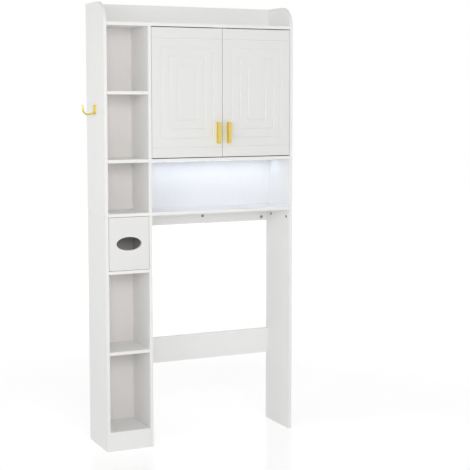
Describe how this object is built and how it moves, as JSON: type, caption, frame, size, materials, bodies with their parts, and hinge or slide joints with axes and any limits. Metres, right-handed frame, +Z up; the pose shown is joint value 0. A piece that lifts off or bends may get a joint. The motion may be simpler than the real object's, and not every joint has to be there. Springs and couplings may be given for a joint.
{
  "type": "over-the-toilet storage rack",
  "caption": "Tall white storage rack that stands over a toilet: an open shelf tower with a tissue compartment, a grooved two-door cabinet over a lit cubby, and a side coat hook.",
  "frame": {"origin": "bottom centre of the object's box, on the floor", "axes": "+X to the right as the doors are seen, +Y from the doors towards the wall, +Z up"},
  "size_m": [0.817, 0.224, 1.65],
  "materials": {
    "melamine": "white melamine-faced board, satin",
    "melamine_doors": "white lacquered board with shallow grooves, satin",
    "back_board": "thin white-faced fibreboard, matt",
    "gold": "gold plated, polished",
    "hinge_steel": "nickel-plated pressed steel, satin",
    "cam_zinc": "die-cast zinc, dull grey",
    "white_plastic": "white moulded plastic, satin",
    "lamp_diffuser": "opal diffuser, lit cool white",
    "led_board": "white solder-masked board"
  },
  "bodies": {
    "carcass": {"left_side_lower": "melamine", "left_side_upper": "melamine", "divider_lower": "melamine", "divider_upper": "melamine", "right_side_lower": "melamine", "right_side_upper": "melamine", "top_panel": "melamine", "gallery_board": "melamine", "cabinet_floor": "melamine", "cubby_shelf": "melamine", "tower_junction_shelf": "melamine", "tissue_compartment_floor": "melamine", "tower_shelf_high": "melamine", "tower_shelf_middle": "melamine", "tower_shelf_low": "melamine", "tower_base_shelf": "melamine", "kick_board": "melamine", "cubby_rear_rail": "melamine", "lower_crossbar": "melamine", "adjustable_shelf": "melamine", "tower_back_upper": "back_board", "tower_back_lower": "back_board", "cabinet_back": "back_board", "coat_hook": "gold", "hook_screw_lower": "gold", "hook_screw_upper": "gold", "left_door_hinge_arm_lower": "hinge_steel", "left_door_hinge_arm_upper": "hinge_steel", "right_door_hinge_arm_lower": "hinge_steel", "right_door_hinge_arm_upper": "hinge_steel", "tissue_door_hinge_arm_lower": "hinge_steel", "tissue_door_hinge_arm_upper": "hinge_steel", "shelf_pin_left_front": "hinge_steel", "shelf_pin_left_rear": "hinge_steel", "shelf_pin_right_front": "hinge_steel", "shelf_pin_right_rear": "hinge_steel", "wall_bracket_left": "hinge_steel", "wall_bracket_right": "hinge_steel", "rail_cam_left": "cam_zinc", "rail_cam_middle": "cam_zinc", "rail_cam_right": "cam_zinc", "side_cam_front": "cam_zinc", "side_cam_rear": "cam_zinc", "double_catch": "white_plastic", "tissue_catch": "white_plastic", "lamp_channel": "white_plastic", "lamp_diffuser": "lamp_diffuser", "lamp_led_board": "led_board"},
    "left_door": {"left_door": "melamine_doors", "left_door_hinge_cup_lower": "hinge_steel", "left_door_hinge_cup_upper": "hinge_steel", "left_handle": "gold"},
    "right_door": {"right_door": "melamine_doors", "right_door_hinge_cup_lower": "hinge_steel", "right_door_hinge_cup_upper": "hinge_steel", "right_handle": "gold"},
    "tissue_door": {"tissue_door": "melamine_doors", "tissue_door_hinge_cup_lower": "hinge_steel", "tissue_door_hinge_cup_upper": "hinge_steel"}
  },
  "joints": [
    {"name": "left_door_hinge", "type": "hinge", "parent": "carcass", "child": "left_door", "pos_m": [-0.17375, -0.088, 1.321], "axis": [0, 0, -1], "range_deg": [0, 95]},
    {"name": "right_door_hinge", "type": "hinge", "parent": "carcass", "child": "right_door", "pos_m": [0.39575, -0.088, 1.321], "axis": [0, 0, 1], "range_deg": [0, 95]},
    {"name": "tissue_door_hinge", "type": "hinge", "parent": "carcass", "child": "tissue_door", "pos_m": [-0.34375, -0.088, 0.771], "axis": [0, 0, -1], "range_deg": [0, 95]}
  ]
}
